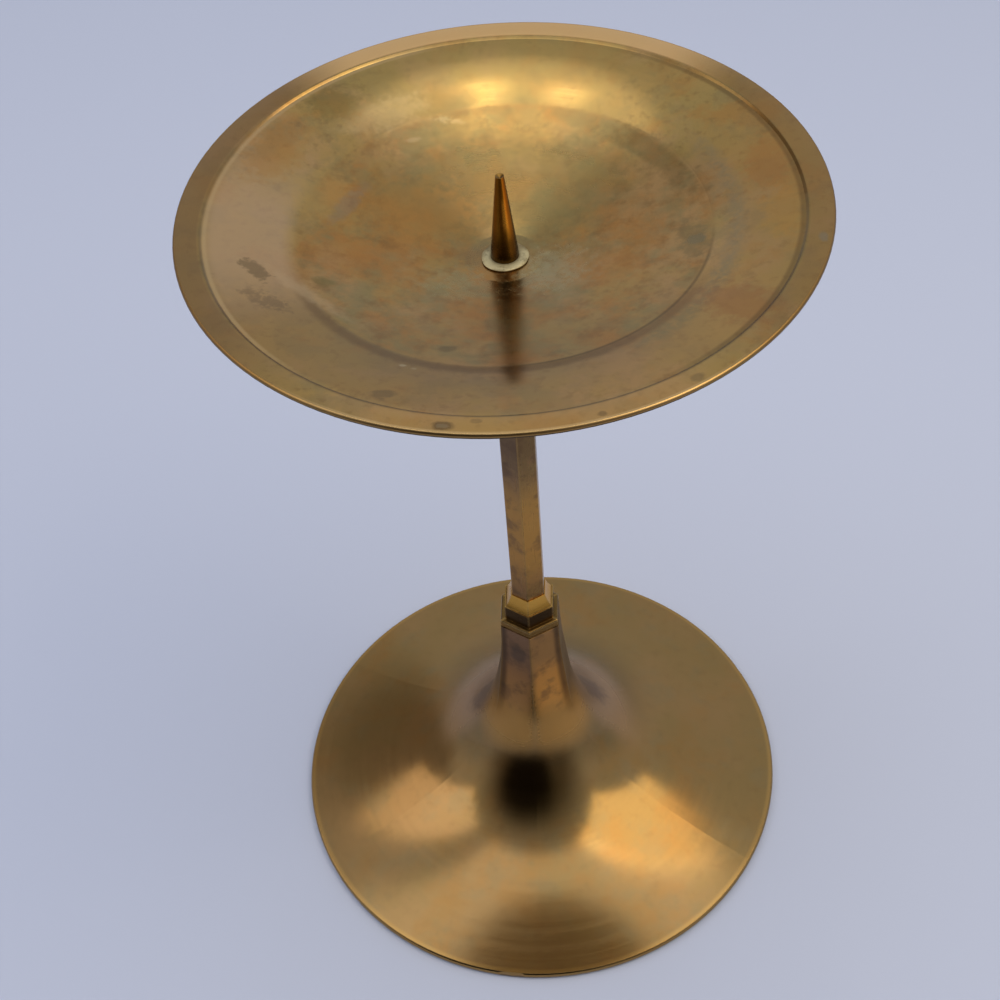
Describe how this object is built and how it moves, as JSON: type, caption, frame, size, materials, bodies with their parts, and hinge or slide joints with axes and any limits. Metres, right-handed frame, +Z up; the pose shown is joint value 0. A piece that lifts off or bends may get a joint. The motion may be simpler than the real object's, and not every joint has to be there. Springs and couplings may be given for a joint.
{
  "type": "pricket candle stand",
  "caption": "Low brass candle stand with a wide shallow drip pan and a central spike, on a hexagonal stem that flares into a hollow round foot.",
  "frame": {"origin": "on the stand's axis, at the surface that the foot rests on", "axes": "+Z up along the stem and the spike; -Y is the front, which a corner of the hexagonal stem faces"},
  "size_m": [0.134, 0.134, 0.2069],
  "materials": {
    "cast_brass": "polished casting, tarnished olive-gold",
    "drawn_brass": "drawn bar, brown patina",
    "spun_brass": "spun sheet, mottled tarnish",
    "white_metal": "dull cast white metal",
    "steel": "plain, dulled"
  },
  "bodies": {
    "root": {"base": "cast_brass", "foot_collar": "cast_brass", "stem": "drawn_brass", "pan_collar": "cast_brass", "pan": "spun_brass", "pricket_washer": "white_metal", "pricket": "drawn_brass", "tie_stud": "steel", "nut_washer": "steel", "tie_nut": "steel"}
  },
  "joints": []
}
